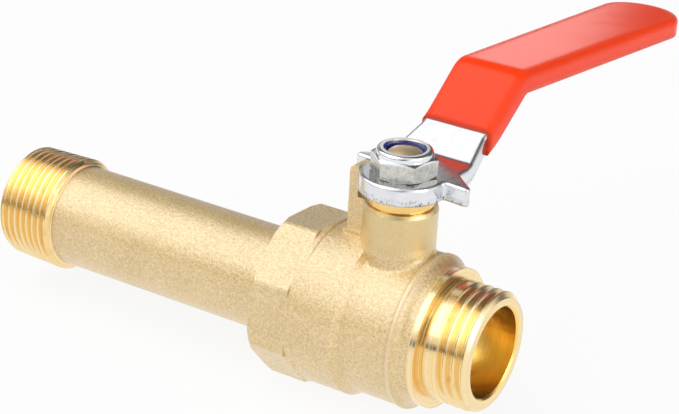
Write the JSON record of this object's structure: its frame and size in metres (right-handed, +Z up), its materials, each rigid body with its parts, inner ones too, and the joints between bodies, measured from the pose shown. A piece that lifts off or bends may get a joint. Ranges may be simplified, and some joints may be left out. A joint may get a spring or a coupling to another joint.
{
  "type": "water heater drain valve",
  "caption": "Quarter turn ball valve in cast brass with a long male pipe thread inlet, a male hose thread outlet and a cranked steel lever in a red dipped sleeve",
  "frame": {"origin": "centre of the inlet end of the pipe, on the flow axis", "axes": "+X runs along the flow to the outlet, +Z up along the stem, +Y along the closed lever"},
  "size_m": [0.1265, 0.144, 0.0673],
  "materials": {
    "cast_brass": "cast body, blasted to a fine even grain; bright machined on the outlet thread, the end face and the shoulder",
    "tube_brass": "inlet pipe and wrench octagon, blasted to a fine even grain; bright machined pipe thread",
    "turned_brass": "bright turned brass",
    "chromed_brass": "polished and chromed ball",
    "seat_plastic": "white fluoropolymer",
    "seal_rubber": "black nitrile rubber",
    "plated_steel": "stamped steel with bright zinc plate",
    "red_vinyl": "dipped orange red vinyl, glossy",
    "lock_nylon": "blue nylon"
  },
  "bodies": {
    "valve": {"valve_body": "cast_brass", "inlet_tailpiece": "tube_brass", "inlet_seat": "seat_plastic", "outlet_seat": "seat_plastic", "body_seal_ring": "seal_rubber", "stem_thrust_washer": "seat_plastic", "packing_ring_lower": "seat_plastic", "packing_ring_upper": "seat_plastic", "gland_ring": "turned_brass", "packing_nut": "turned_brass"},
    "handle": {"lever": "plated_steel", "lever_grip": "red_vinyl", "lock_nut": "plated_steel", "nylon_insert": "lock_nylon", "stem": "turned_brass", "stem_seal_ring": "seal_rubber"},
    "ball_body": {"ball": "chromed_brass"}
  },
  "joints": [
    {"name": "lever_turn", "type": "hinge", "parent": "valve", "child": "handle", "pos_m": [0.1014, 0, 0], "axis": [0, 0, 1], "range_deg": [-90, 0]},
    {"name": "ball_turn", "type": "hinge", "parent": "valve", "child": "ball_body", "pos_m": [0.1014, 0, 0], "axis": [0, 0, 1], "range_deg": [-90, 0]}
  ],
  "couplings": [
    {"joint": "ball_turn", "follows": "lever_turn", "ratio": 1}
  ]
}
